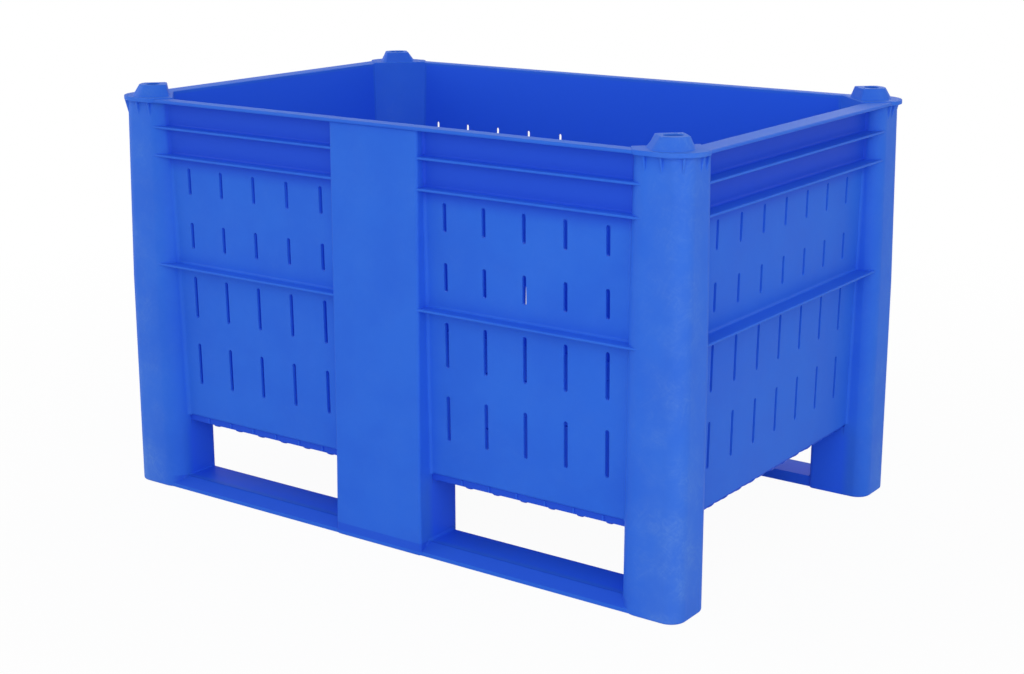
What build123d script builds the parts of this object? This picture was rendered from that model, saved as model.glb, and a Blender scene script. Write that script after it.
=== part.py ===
"""Rigid vented pallet box in HDPE: ribbed tub, hollow posts with legs, rim, stacking caps and skids.

Millimetres. X runs along the long side, Y along the short side and Z up, with the origin on the ground
under the middle of the box. Pieces that repeat are made once, for the +X +Y corner or for the +X or
+Y side, and mirrored to the other places.
"""
import os
from math import cos, radians, sin, sqrt

from build123d import *

os.makedirs("parts", exist_ok=True)

# Overall size, over the corner caps and to the top of the rim
box_length = 1200.0
box_width = 800.0
rim_height = 734.0

# Fits
seam_gap = 0.2
tongue_thickness = 2.0
tongue_height = 3.0

# Rim rails and corner caps
rim_thickness = 6.0
rim_edge_radius = 1.2
rail_setback_long = 4.5
rail_setback_end = 5.0
cap_step = 1.5
cap_overhang = 11.5
cap_radius = 52.0
cap_end_taper = 12.0
cap_reach_long = 116.0
cap_reach_end = 117.0
spigot_depth = 12.0
spigot_wall = 4.0

# Stacking studs on the caps
stud_from_end = 57.4
stud_from_side = 47.4
stud_height = 19.5
stud_base_width = 64.0
stud_base_back = 24.5
stud_base_front = 36.5
stud_top_width = 42.0
stud_top_back = 23.0
stud_top_front = 24.5
stud_flank = 15.5
stud_wall = 6.0
stud_hole_length = 30.0
stud_hole_width = 22.0

# Posts and legs
post_lean = 6.0
corner_lean = 7.4
corner_knee_lean = 1.6
corner_knee_height = 400.0
post_wall = 5.0
leg_length = 112.5
leg_depth = 97.5
leg_radius = 37.0
leg_outer_radius = 28.0
leg_end_radius = 32.0
leg_inner_radius = 8.0
centre_width = 185.0
centre_edge_radius = 3.0
web_thickness = 5.0
fin_height = 24.0
fin_reach = 6.5
fin_thickness = 3.5
fins_from_end = (39.5, 67.5)
fin_from_side = 45.0
fin_side_angle = 25.0

# Tub walls
wall_thickness = 5.0
wall_recess_long = 17.2
wall_recess_end = 28.3
wall_slope_long = 0.0177
wall_slope_end = 0.0134
wall_rib_thickness = 4.5
wall_rib_setback = 0.8
wall_rib_heights = (683.0, 632.0, 431.5)
corner_panel_leg = 78.5
corner_panel_thickness = 5.0

# Vent slots, with the height of the middle and the length of each row
slot_rows = ((587.5, 48.5), (488.0, 48.5), (372.5, 78.0), (245.0, 79.0))
slot_width = 7.5
slot_pitch = 78.0
slots_per_bay = 5
slots_per_end = 7
slot_margin = 40.0

# Floor
floor_height = 154.0
deck_thickness = 5.0
floor_rib_depth = 15.5
floor_rib_thickness = 4.0
floor_rib_pitch = 53.0
ledge_height = 6.5
ledge_recess = 2.5
skirt_thickness = 6.0
rib_end_width = 14.0
rib_end_drop = 3.0
rib_end_length = 30.0
rib_end_margin = 10.0
floor_slot_length = 36.0

# Skids
skid_clearance = 2.5
skid_height = 15.0
skid_setback = 2.5
skid_lip = 5.0
skid_ramp = 40.0
skid_wall = 4.0
skid_pockets = 5
tenon_width = 40.0
tenon_thickness = 8.0
tenon_reach = 6.0
tenon_from_back = 14.0

# Levels and planes that several pieces share
rim_seat = rim_height - rim_thickness
cap_top = rim_height + cap_step
deck_under = floor_height - deck_thickness
tub_seat = deck_under - floor_rib_depth
ledge_top = tub_seat + ledge_height
post_x = box_length / 2 - cap_overhang
post_y = box_width / 2 - cap_overhang
foot_x = post_x + post_lean
foot_y = post_y + post_lean
leg_side = foot_x - leg_length
leg_back = foot_y - leg_depth
cap_x = box_length / 2 - cap_reach_long
cap_y = box_width / 2 - cap_reach_end
rail_x = box_length / 2 - rail_setback_end
rail_y = box_width / 2 - rail_setback_long


def wall_x(height):
    """Outer face of the end walls at a height."""
    return post_x - wall_recess_end - wall_slope_end * (rim_seat - height)


def wall_y(height):
    """Outer face of the long walls at a height."""
    return post_y - wall_recess_long - wall_slope_long * (rim_seat - height)


rail_inner_x = wall_x(rim_seat) - wall_thickness
rail_inner_y = wall_y(rim_seat) - wall_thickness
deck_x = wall_x(ledge_top) - wall_thickness - seam_gap
deck_y = wall_y(ledge_top) - wall_thickness - seam_gap
ledge_x = wall_x(ledge_top) - ledge_recess
ledge_y = wall_y(ledge_top) - ledge_recess


def tub_block(inset_x, inset_y):
    """Solid block with the leaning faces of the tub, drawn in by the insets, from its seat to the rim."""
    with BuildPart() as block:
        for height in (tub_seat, rim_seat):
            with BuildSketch(Plane.XY.offset(height)):
                Rectangle(2 * (wall_x(height) - inset_x), 2 * (wall_y(height) - inset_y))
        loft(ruled=True)
    return block.part


def lean_at(height):
    """How far the outer faces of a corner post have come in at a height: little below the knee, more above."""
    if height < corner_knee_height:
        return corner_knee_lean * height / corner_knee_height
    upper_share = (height - corner_knee_height) / (rim_seat - corner_knee_height)
    return corner_knee_lean + (corner_lean - corner_knee_lean) * upper_share


def column_outline(height, shrink):
    """Rounded outline of a corner post at a height, drawn in by shrink on every side."""
    low_x = leg_side + shrink
    low_y = leg_back + shrink
    high_x = foot_x - lean_at(height) - shrink
    high_y = foot_y - lean_at(height) - shrink
    radii = {
        (low_x, high_y): leg_radius - shrink,
        (high_x, high_y): leg_outer_radius - shrink,
        (high_x, low_y): leg_end_radius - shrink,
        (low_x, low_y): max(leg_inner_radius - shrink, leg_inner_radius / 4),
    }
    with BuildSketch(Plane.XY.offset(height)) as outline:
        with Locations((low_x, low_y)):
            Rectangle(high_x - low_x, high_y - low_y, align=(Align.MIN, Align.MIN))
        for (corner_x, corner_y), radius in radii.items():
            fillet(outline.vertices().sort_by_distance((corner_x, corner_y, height))[0], radius)
    return outline.sketch


def corner_column(shrink):
    """Solid column of a corner post from the ground to the rim seat, whose outer faces lean in."""
    with BuildPart() as column:
        loft([column_outline(height, shrink) for height in (0, corner_knee_height, rim_seat)], ruled=True)
    return column.part


def centre_section(shrink):
    """Side view of a centre post, with an upright back and a face that leans with the corner posts."""
    with BuildSketch(Plane.YZ) as section:
        with BuildLine():
            Polyline(
                (leg_back + shrink, 0),
                (foot_y - shrink, 0),
                (post_y - shrink, rim_seat),
                (leg_back + shrink, rim_seat),
                close=True,
            )
        make_face()
    return section.sketch


def centre_column(shrink):
    """Solid column of a centre post from the ground to the rim seat."""
    with BuildPart() as column:
        extrude(centre_section(shrink), amount=centre_width / 2 - shrink, both=True)
    return column.part


def tenon_bar(grow):
    """Bar along a skid whose ends stand in the mortises of the legs beside it."""
    tenon_length = leg_side - centre_width / 2 + 2 * (post_wall + tenon_reach)
    tenon_middle = skid_clearance + (skid_height - skid_wall) / 2
    with BuildPart() as bar:
        with Locations((
            (centre_width / 2 + leg_side) / 2,
            leg_back + tenon_from_back + tenon_width / 2,
            tenon_middle,
        )):
            Box(tenon_length + 2 * grow, tenon_width + 2 * grow, tenon_thickness + 2 * grow)
    return bar.part


def tongues(grow, half_length_x, half_length_y):
    """Bars along the middle of the wall tops: a pair for the long walls and a pair for the end walls."""
    thickness = tongue_thickness + 2 * grow
    bar_height = tongue_height + grow
    with BuildPart() as bars:
        for side in (-1, 1):
            with Locations((0, side * (wall_y(rim_seat) - wall_thickness / 2), rim_seat)):
                Box(2 * half_length_x, thickness, bar_height, align=(Align.CENTER, Align.CENTER, Align.MIN))
            with Locations((side * (wall_x(rim_seat) - wall_thickness / 2), 0, rim_seat)):
                Box(thickness, 2 * half_length_y, bar_height, align=(Align.CENTER, Align.CENTER, Align.MIN))
    return bars.part


def place(piece, side_x, side_y):
    """Mirror a piece made for the +X +Y corner to the corner with these signs."""
    if side_x < 0:
        piece = mirror(piece, about=Plane.YZ)
    if side_y < 0:
        piece = mirror(piece, about=Plane.XZ)
    return piece


def write(piece, name):
    """Label a piece and write it as its own file."""
    piece.label = name
    export_step(piece, f"parts/{name}.step")


# Where the mirrored copies go
corners = {"front_left": (-1, -1), "front_right": (1, -1), "rear_left": (-1, 1), "rear_right": (1, 1)}
long_sides = {"front": (1, -1), "rear": (1, 1)}
end_sides = {"left": (-1, 1), "right": (1, 1)}

# Shapes that one piece is cut to so that it fits another
tub_outside = tub_block(0, 0)
skid_mortise = tenon_bar(seam_gap)
tongue_grooves = tongues(seam_gap, rail_inner_x + seam_gap, rail_inner_y + seam_gap)
clear_corner_column = corner_column(-seam_gap)
clear_centre_column = centre_column(-seam_gap)

# Floor deck: ledge that carries the walls, rounded rib ends over the fork openings, rib grid and plate
cross_ribs = 2 * int(deck_x / floor_rib_pitch)
long_ribs = 2 * int(deck_y / floor_rib_pitch)
cross_rib_spots = [spot.position.X for spot in GridLocations(floor_rib_pitch, 0, cross_ribs, 1)]
long_rib_spots = [spot.position.Y for spot in GridLocations(0, floor_rib_pitch, 1, long_ribs)]
window_start = centre_width / 2 + rib_end_margin
window_end = leg_side - rib_end_margin
long_side_spots = [x for x in cross_rib_spots if window_start < abs(x) < window_end]
end_spots = [y for y in long_rib_spots if abs(y) < leg_back - rib_end_margin]


def rib_ends(plane, spots):
    """Rounded rib ends in a row on an upright plane, level with the ledge at the top."""
    with BuildSketch(plane) as row:
        with Locations([(spot, tub_seat - rib_end_drop + rib_end_width / 2) for spot in spots]):
            Circle(rib_end_width / 2)
        with Locations((0, ledge_top)):
            Rectangle(box_length, rib_end_width, align=(Align.CENTER, Align.MIN), mode=Mode.SUBTRACT)
    return row.sketch


with BuildPart() as floor_deck:
    with BuildSketch(Plane.XY.offset(tub_seat)):
        Rectangle(2 * ledge_x, 2 * ledge_y)
        Rectangle(2 * (deck_x - skirt_thickness), 2 * (deck_y - skirt_thickness), mode=Mode.SUBTRACT)
    extrude(amount=ledge_height)
    for side in (-1, 1):
        extrude(rib_ends(Plane.XZ.offset(side * ledge_y), long_side_spots), amount=-side * rib_end_length)
        extrude(rib_ends(Plane.YZ.offset(side * ledge_x), end_spots), amount=-side * rib_end_length)
    with BuildSketch(Plane.XY.offset(tub_seat)):
        Rectangle(2 * deck_x, 2 * deck_y)
        Rectangle(2 * (deck_x - skirt_thickness), 2 * (deck_y - skirt_thickness), mode=Mode.SUBTRACT)
        with Locations([(x, 0) for x in cross_rib_spots]):
            Rectangle(floor_rib_thickness, 2 * deck_y)
        with Locations([(0, y) for y in long_rib_spots]):
            Rectangle(2 * deck_x, floor_rib_thickness)
    extrude(amount=floor_rib_depth)
    with BuildSketch(Plane.XY.offset(deck_under)):
        Rectangle(2 * deck_x, 2 * deck_y)
        with GridLocations(2 * floor_rib_pitch, 2 * floor_rib_pitch, cross_ribs // 2, long_ribs // 2):
            SlotOverall(floor_slot_length, slot_width, mode=Mode.SUBTRACT)
    extrude(amount=deck_thickness)
write(floor_deck.part, "floor_deck")

# Ribs of the walls, which run out to the faces of the posts and stop at them
with BuildPart() as long_wall_ribs:
    for rib_height in wall_rib_heights:
        rib_start = wall_y(rib_height) - wall_thickness / 2
        with BuildSketch(Plane.XY.offset(rib_height - wall_rib_thickness / 2)):
            with Locations((0, rib_start)):
                rib_front = min(post_y, foot_y - lean_at(rib_height) - wall_rib_setback)
                Rectangle(2 * foot_x - leg_length, rib_front - rib_start, align=(Align.CENTER, Align.MIN))
        extrude(amount=wall_rib_thickness)
    for side in (-1, 1):
        add(place(clear_corner_column, side, 1), mode=Mode.SUBTRACT)
    add(clear_centre_column, mode=Mode.SUBTRACT)

with BuildPart() as end_wall_ribs:
    for rib_height in wall_rib_heights:
        rib_start = wall_x(rib_height) - wall_thickness / 2
        with BuildSketch(Plane.XY.offset(rib_height - wall_rib_thickness / 2)):
            with Locations((rib_start, 0)):
                rib_front = min(post_x, foot_x - lean_at(rib_height) - wall_rib_setback)
                Rectangle(rib_front - rib_start, 2 * foot_y - leg_depth, align=(Align.MIN, Align.CENTER))
        extrude(amount=wall_rib_thickness)
    for side in (-1, 1):
        add(place(clear_corner_column, 1, side), mode=Mode.SUBTRACT)

# Long wall: leaning panel over the full length, ribs, tongue for the rail and two bays of vent slots
with BuildPart() as long_wall:
    with BuildSketch(Plane.YZ):
        with BuildLine():
            Polyline(
                (wall_y(ledge_top), ledge_top),
                (wall_y(rim_seat), rim_seat),
                (wall_y(rim_seat) - wall_thickness, rim_seat),
                (wall_y(ledge_top) - wall_thickness, ledge_top),
                close=True,
            )
        make_face()
    extrude(amount=box_length / 2, both=True)
    add(tub_outside, mode=Mode.INTERSECT)
    add(long_wall_ribs.part)
    with Locations((0, wall_y(rim_seat) - wall_thickness / 2, rim_seat)):
        Box(2 * rail_inner_x, tongue_thickness, tongue_height, align=(Align.CENTER, Align.CENTER, Align.MIN))
    with BuildSketch(Plane.XZ.offset(-post_y)):
        for slot_height, slot_length in slot_rows:
            for side in (-1, 1):
                for number in range(slots_per_bay):
                    slot_place = centre_width / 2 + slot_margin + number * slot_pitch
                    with Locations((side * slot_place, slot_height)):
                        SlotOverall(slot_length, slot_width, rotation=90)
    extrude(amount=post_y - leg_back, mode=Mode.SUBTRACT)
for name, signs in long_sides.items():
    write(place(long_wall.part, *signs), f"{name}_wall")

# End wall: leaning panel between the long walls, ribs, tongue for the rail and one bay of vent slots
with BuildPart() as end_wall:
    with BuildSketch(Plane.XZ):
        with BuildLine():
            Polyline(
                (wall_x(ledge_top), ledge_top),
                (wall_x(rim_seat), rim_seat),
                (wall_x(rim_seat) - wall_thickness, rim_seat),
                (wall_x(ledge_top) - wall_thickness, ledge_top),
                close=True,
            )
        make_face()
    extrude(amount=box_width / 2, both=True)
    add(tub_block(0, wall_thickness), mode=Mode.INTERSECT)
    add(end_wall_ribs.part)
    with Locations((wall_x(rim_seat) - wall_thickness / 2, 0, rim_seat)):
        Box(tongue_thickness, 2 * rail_inner_y, tongue_height, align=(Align.CENTER, Align.CENTER, Align.MIN))
    with BuildSketch(Plane.YZ.offset(post_x)):
        for slot_height, slot_length in slot_rows:
            with Locations((0, slot_height)):
                with GridLocations(slot_pitch, 0, slots_per_end, 1):
                    SlotOverall(slot_length, slot_width, rotation=90)
    extrude(amount=leg_side - post_x, mode=Mode.SUBTRACT)
for name, signs in end_sides.items():
    write(place(end_wall.part, *signs), f"{name}_end_wall")

# Corner panel: upright slab across the inside corner, trimmed by the inner faces of both walls
panel_shift = corner_panel_thickness / (2 * sqrt(2))
panel_x = rail_inner_x - corner_panel_leg / 2 + panel_shift
panel_y = rail_inner_y - corner_panel_leg / 2 + panel_shift
with BuildPart() as corner_panel:
    with Locations(Location((panel_x, panel_y, floor_height), (0, 0, -45))):
        Box(
            2 * corner_panel_leg,
            corner_panel_thickness,
            rim_seat - floor_height,
            align=(Align.CENTER, Align.CENTER, Align.MIN),
        )
    add(tub_block(wall_thickness, wall_thickness), mode=Mode.INTERSECT)
for name, signs in corners.items():
    write(place(corner_panel.part, *signs), f"{name}_corner_panel")

# Height at which the legs end: they carry the floor, and the posts stand on them outside the tub
leg_top = Plane.XY.offset(tub_seat)

# Corner leg: a tube under the floor with a mortise for the skid
with BuildPart() as corner_leg:
    add(corner_column(0))
    add(corner_column(post_wall), mode=Mode.SUBTRACT)
    split(bisect_by=leg_top, keep=Keep.BOTTOM)
    add(skid_mortise, mode=Mode.SUBTRACT)
for name, signs in corners.items():
    write(place(corner_leg.part, *signs), f"{name}_leg")

# Corner post: a shell round the corner of the tub, with tapered fins under the cap
top_x = foot_x - corner_lean
top_y = foot_y - corner_lean
diagonal = leg_outer_radius * (1 - 1 / sqrt(2))
fins = [(post_x - distance, top_y, 90) for distance in fins_from_end]
fins.append((top_x - diagonal, top_y - diagonal, 45))
fins.append((top_x, post_y - fin_from_side, 0))
fins.append((
    top_x - leg_end_radius * (1 - cos(radians(fin_side_angle))),
    leg_back + leg_end_radius * (1 - sin(radians(fin_side_angle))),
    -fin_side_angle,
))
fin_root = post_wall / 2
with BuildPart() as corner_post:
    add(corner_column(0))
    for fin_x, fin_y, fin_angle in fins:
        outward = (cos(radians(fin_angle)), sin(radians(fin_angle)), 0)
        across = (sin(radians(fin_angle)), -cos(radians(fin_angle)), 0)
        with BuildSketch(Plane(origin=(fin_x, fin_y, rim_seat), x_dir=outward, z_dir=across)):
            with BuildLine():
                Polyline(
                    (-fin_root, 0),
                    (fin_reach, 0),
                    (-fin_root, -fin_height * (fin_reach + fin_root) / fin_reach),
                    close=True,
                )
            make_face()
        extrude(amount=fin_thickness / 2, both=True)
    add(corner_column(post_wall), mode=Mode.SUBTRACT)
    split(bisect_by=leg_top, keep=Keep.TOP)
    add(tub_outside, mode=Mode.SUBTRACT)
for name, signs in corners.items():
    write(place(corner_post.part, *signs), f"{name}_corner_post")

# Centre shell: two cells beside a web, over the full height, that the centre legs and posts are cut from
cell_width = (centre_width - web_thickness) / 2 - post_wall
with BuildPart() as centre_shell:
    add(centre_column(0))
    front_edges = centre_shell.faces().sort_by(Axis.Y)[-1].edges().sort_by(Axis.X)
    fillet([front_edges[0], front_edges[-1]], centre_edge_radius)
    for side in (-1, 1):
        cell_section = Pos(side * web_thickness / 2, 0, 0) * centre_section(post_wall)
        extrude(cell_section, amount=side * cell_width, mode=Mode.SUBTRACT)

# Centre leg: the closed shell under the floor, with a mortise for the skid on each side
with BuildPart() as centre_leg:
    add(centre_shell.part)
    split(bisect_by=leg_top, keep=Keep.BOTTOM)
    for side in (-1, 1):
        add(place(skid_mortise, side, 1), mode=Mode.SUBTRACT)
for name, signs in long_sides.items():
    write(place(centre_leg.part, *signs), f"{name}_centre_leg")

# Centre post: the shell above the floor, a channel closed by the long wall
with BuildPart() as centre_post:
    add(centre_shell.part)
    split(bisect_by=leg_top, keep=Keep.TOP)
    add(tub_outside, mode=Mode.SUBTRACT)
for name, signs in long_sides.items():
    write(place(centre_post.part, *signs), f"{name}_centre_post")

# Corner cap: plate with a hollow stacking stud, grooves for the wall tongues and a spigot in the post
stud_x = box_length / 2 - stud_from_end
stud_y = box_width / 2 - stud_from_side


def stud_plane(height):
    """Level plane over a stud's place, with its X axis towards the outer corner of the box."""
    return Plane(origin=(stud_x, stud_y, height), x_dir=(1, 1, 0), z_dir=(0, 0, 1))


def stud_outline(height, width, back, front, inset):
    """Outline of a stud at a height: flat towards the load space, straight flanks, bowed outer side."""
    half_width = width / 2 - inset
    with BuildSketch(stud_plane(height)) as outline:
        with BuildLine():
            Polyline(
                (stud_flank, half_width),
                (inset - back, half_width),
                (inset - back, -half_width),
                (stud_flank, -half_width),
            )
            ThreePointArc((stud_flank, -half_width), (front - inset, 0), (stud_flank, half_width))
        make_face()
    return outline.sketch


def stud_block(inset, low, high):
    """Solid of a stud between two heights, drawn in by inset on every side."""
    with BuildPart() as block:
        loft([
            stud_outline(low, stud_base_width, stud_base_back, stud_base_front, inset),
            stud_outline(high, stud_top_width, stud_top_back, stud_top_front, inset),
        ], ruled=True)
    return block.part


with BuildPart() as cap_spigot:
    add(corner_column(post_wall + seam_gap))
    add(corner_column(post_wall + seam_gap + spigot_wall), mode=Mode.SUBTRACT)
    add(tub_block(-seam_gap, -seam_gap), mode=Mode.SUBTRACT)
    with Locations((0, 0, rim_seat - spigot_depth)):
        Box(2 * box_length, 2 * box_width, spigot_depth, align=(Align.CENTER, Align.CENTER, Align.MIN),
            mode=Mode.INTERSECT)

with BuildPart() as corner_cap:
    with BuildSketch(Plane.XY.offset(rim_seat)) as cap_outline:
        with BuildLine():
            Polyline(
                (cap_x, rail_y),
                (cap_x + cap_end_taper, box_width / 2),
                (box_length / 2, box_width / 2),
                (box_length / 2, cap_y + cap_end_taper),
                (rail_x, cap_y),
                (rail_inner_x, cap_y),
                (cap_x, rail_inner_y),
                close=True,
            )
        make_face()
        fillet(cap_outline.vertices().sort_by_distance((0, 0, rim_seat))[-1], cap_radius)
    extrude(amount=cap_top - rim_seat)
    fillet(corner_cap.faces().sort_by(Axis.Z)[-1].edges(), rim_edge_radius)
    add(stud_block(0, cap_top, cap_top + stud_height))
    add(stud_block(stud_wall, rim_seat, cap_top + stud_height - stud_wall), mode=Mode.SUBTRACT)
    with BuildSketch(stud_plane(cap_top + stud_height)):
        Ellipse(stud_hole_width / 2, stud_hole_length / 2)
    extrude(amount=-stud_height, mode=Mode.SUBTRACT)
    add(tongue_grooves, mode=Mode.SUBTRACT)
    add(cap_spigot.part)
for name, signs in corners.items():
    write(place(corner_cap.part, *signs), f"{name}_corner_cap")

# Rim rails between the caps, grooved underneath for the wall tongues
with BuildPart() as long_rail:
    with Locations((0, rail_inner_y, rim_seat)):
        Box(2 * cap_x, rail_y - rail_inner_y, rim_thickness, align=(Align.CENTER, Align.MIN, Align.MIN))
    fillet(long_rail.faces().sort_by(Axis.Z)[-1].edges().filter_by(Axis.X), rim_edge_radius)
    add(tongue_grooves, mode=Mode.SUBTRACT)
for name, signs in long_sides.items():
    write(place(long_rail.part, *signs), f"{name}_rim")

with BuildPart() as end_rail:
    with Locations((rail_inner_x, 0, rim_seat)):
        Box(rail_x - rail_inner_x, 2 * cap_y, rim_thickness, align=(Align.MIN, Align.CENTER, Align.MIN))
    fillet(end_rail.faces().sort_by(Axis.Z)[-1].edges().filter_by(Axis.Y), rim_edge_radius)
    add(tongue_grooves, mode=Mode.SUBTRACT)
for name, signs in end_sides.items():
    write(place(end_rail.part, *signs), f"{name}_rim")

# Skid: low bar with a ramp on its outer side, pockets underneath and a tenon into the leg at each end
skid_start = centre_width / 2
skid_back = leg_back + leg_inner_radius
skid_front = foot_y - skid_setback
skid_top = skid_clearance + skid_height
skid_solid_end = post_wall + tenon_reach
pocket_pitch = (leg_side - skid_start - 2 * skid_solid_end) / skid_pockets
with BuildPart() as skid:
    with BuildSketch(Plane.YZ.offset(skid_start)):
        with BuildLine():
            Polyline(
                (skid_back, skid_clearance),
                (skid_front, skid_clearance),
                (skid_front, skid_clearance + skid_lip),
                (skid_front - skid_ramp, skid_top),
                (skid_back, skid_top),
                close=True,
            )
        make_face()
    extrude(amount=leg_side + leg_radius - skid_start)
    add(clear_corner_column, mode=Mode.SUBTRACT)
    add(tenon_bar(0))
    with BuildSketch(Plane.XY.offset(skid_clearance)):
        with Locations(((skid_start + leg_side) / 2, (skid_back + skid_front - skid_ramp) / 2)):
            with GridLocations(pocket_pitch, 0, skid_pockets, 1):
                Rectangle(pocket_pitch - skid_wall, skid_front - skid_ramp - skid_back - 2 * skid_wall)
    extrude(amount=skid_height - skid_wall, mode=Mode.SUBTRACT)
for name, signs in corners.items():
    write(place(skid.part, *signs), f"{name}_skid")
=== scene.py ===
"""Blue HDPE pallet box: moulded pieces with rounded edges in satin plastic, in a pale studio.

Sizes are in millimetres, as on the part's drawing, and become metres where a mesh or material is made.
Pieces that repeat are made for the +X +Y corner, the +X end or the +Y side and mirrored from there.
"""
from math import acos, asin, atan2, cos, degrees, pi, radians, sin, sqrt

import bmesh
import bpy
from mathutils import Matrix, Vector


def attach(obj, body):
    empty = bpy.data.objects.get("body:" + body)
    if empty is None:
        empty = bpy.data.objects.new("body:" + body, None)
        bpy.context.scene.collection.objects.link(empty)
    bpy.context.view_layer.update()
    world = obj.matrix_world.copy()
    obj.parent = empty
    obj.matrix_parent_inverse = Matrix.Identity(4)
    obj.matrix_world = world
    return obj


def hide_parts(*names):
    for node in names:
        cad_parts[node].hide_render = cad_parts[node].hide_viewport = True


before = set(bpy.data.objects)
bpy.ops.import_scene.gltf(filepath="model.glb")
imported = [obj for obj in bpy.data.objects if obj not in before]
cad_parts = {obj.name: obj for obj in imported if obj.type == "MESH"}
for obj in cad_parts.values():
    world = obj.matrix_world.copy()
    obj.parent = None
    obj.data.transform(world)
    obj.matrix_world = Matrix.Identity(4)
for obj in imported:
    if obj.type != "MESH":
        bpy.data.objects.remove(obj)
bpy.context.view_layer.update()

MM = 0.001

# How far a moulded piece runs into its neighbour, deep or just enough that no seam shows light
EMBED = 4.0
LAP = 1.0

# Levels
RIM_HEIGHT = 734.0
RIM_SEAT = 728.0
WALL_HEAD = 733.4
CAP_TOP = 735.5
FLOOR_HEIGHT = 154.0
DECK_UNDER = 149.0
LEDGE_TOP = 140.0
TUB_SEAT = 133.5
KNEE_HEIGHT = 400.0
WALL_LEVELS = [LEDGE_TOP, 250.0, 330.0, KNEE_HEIGHT, 500.0, 620.0, RIM_SEAT]
POST_LEVELS = [230.0, 320.0, KNEE_HEIGHT, 500.0, 620.0, RIM_SEAT]

# Posts and legs
FOOT_X = 595.5
FOOT_Y = 395.3
CENTRE_FRONT = 394.5
POST_X = 588.5
POST_Y = 388.5
CENTRE_LEAN = 6.0
CORNER_LEAN = 7.4
KNEE_LEAN = 1.6
POST_WALL = 5.0
LEG_SIDE = 482.0
LEG_BACK = 297.0
SIDE_RADIUS = 37.0
OUTER_RADIUS = 28.0
END_RADIUS = 28.0
INNER_RADIUS = 8.0
FOOT_ROUND = 3.5
FOOT_STEPS = 4
ROUND_STEPS = 12
CENTRE_HALF = 92.5
CENTRE_FLARE = 1.8
CENTRE_BACK = 290.0
CENTRE_EDGE_RADIUS = 5.0
WEB_THICKNESS = 5.0

# Fins under the caps: sizes, turn of the one on the corner, and how far back the others stand
FIN_HEIGHT = 27.0
FIN_REACH = 6.5
FIN_ROOT = 2.5
FIN_THICKNESS = 4.0
FIN_TURN = 49.0
SIDE_FINS = (42.5, 71.5)
END_FINS = (44.0, 60.0)

# Walls, with slot rows by middle height and length
WALL_THICKNESS = 5.0
WALL_TOP_X = 560.2
WALL_TOP_Y = 371.3
WALL_SLOPE_X = 0.0134
WALL_SLOPE_Y = 0.0177
RIB_HEIGHTS = (683.0, 632.0, 431.5)
RIB_THICKNESS = 4.5
RIB_SETBACK = 0.4
END_RIB_STOP = 6.0
COVE_RADIUS = 5.0
COVE_STEPS = 5
POST_COVE = 8.0
POST_COVE_STEPS = 8
POST_COVE_ROOT = 9.0
POST_COVE_TUCK = 0.2
HEM_RADIUS = 4.5
SLOT_ROWS = ((587.5, 48.5), (488.0, 48.5), (372.5, 78.0), (245.0, 79.0))
SLOT_WIDTH = 7.5
SLOT_PITCH = 78.0
SLOTS_PER_BAY = 5
SLOTS_PER_END = 7
SLOT_MARGIN = 40.0
PANEL_LINE = 846.0
PANEL_THICKNESS = 5.0

# Rim rails and caps
RAIL_X = 595.0
RAIL_Y = 395.5
RAIL_INNER_X = WALL_TOP_X - WALL_THICKNESS + LAP
RAIL_INNER_Y = WALL_TOP_Y - WALL_THICKNESS + LAP
CAP_LINE = PANEL_LINE + 2.0
CAP_START_X = 500.0
CAP_START_Y = 329.0
CAP_CORNER_X = 600.0
CAP_CORNER_Y = 400.0
CAP_RADIUS = 52.0
CAP_TAPER = 8.0

# Studs, with outlines as half width, back and front from the middle of the stud
STUD_X = 541.4
STUD_Y = 353.4
STUD_TOP = CAP_TOP + 19.5
STUD_FOOT = (35.0, 28.0, 37.5)
STUD_HEAD = (22.5, 24.3, 24.5)
STUD_FOOT_INSIDE = (28.5, 22.0, 30.5)
STUD_HEAD_INSIDE = (19.0, 18.5, 18.5)
STUD_FLANK = 15.5
STUD_WALL = 6.0
STUD_HOLE_LENGTH = 31.0
STUD_HOLE_WIDTH = 24.0
STUD_HEAD_SHIFT = -2.5
STUD_STEPS = 48

# Floor, and its ribs as rows by first place, pitch, count and length
DECK_X = 547.1
DECK_Y = 355.7
LEDGE_X = 548.0
LEDGE_Y = 356.6
LEDGE_LOW = 128.6
LEDGE_DEPTH = 8.0
LEDGE_NOTCH = 135.7
LEDGE_LOBE = 2.3
LEDGE_STEPS = 180
TAB_REACH = 1.6
TAB_HALF_WIDTH = 1.8
FLOOR_RIB_LOW = 116.0
FLOOR_RIB_THICKNESS = 6.0
RIB_END_RADIUS = 20.0
BAY_RIBS = (155.0, 56.0, 6, 697.0)
LEG_RIBS = (43.0, 56.0, 2, 580.0)
OUTER_RIBS = (491.0, 56.0, 1, 580.0)
LONG_RIBS = (36.0, 48.0, 6, 1080.0)
FLOOR_SLOT_LENGTH = 30.0
FLOOR_SLOT_COLUMNS = 8
FLOOR_SLOT_ROWS = 6
FLOOR_SLOT_PITCH_X = 112.0
FLOOR_SLOT_PITCH_Y = 96.0

# Skids, with coves at their ends that stop short of the front, down on the ramp
SKID_BACK = 303.0
SKID_FRONT = 392.0
SKID_LOW = 0.9
SKID_COVE = 5.0
SKID_COVE_STOP = 12.0
SKID_COVE_DROP = 7.0
SKID_LIP = 7.5
SKID_TOP = 21.5
SKID_RAMP = 22.0
SKID_RAMP_STEPS = 10
SKID_WALL = 4.0
SKID_POCKETS = 5

# Rounded edges, and the angles over which an edge is rounded and stays sharp
PANEL_EDGE = 0.8
POST_EDGE = 1.5
RAIL_EDGE = 3.0
RAIL_EDGE_STEPS = 4
CAP_EDGE = 1.0
SKID_EDGE = 1.2
ROUND_ANGLE = radians(40)
SHARP_ANGLE = radians(48)

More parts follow.
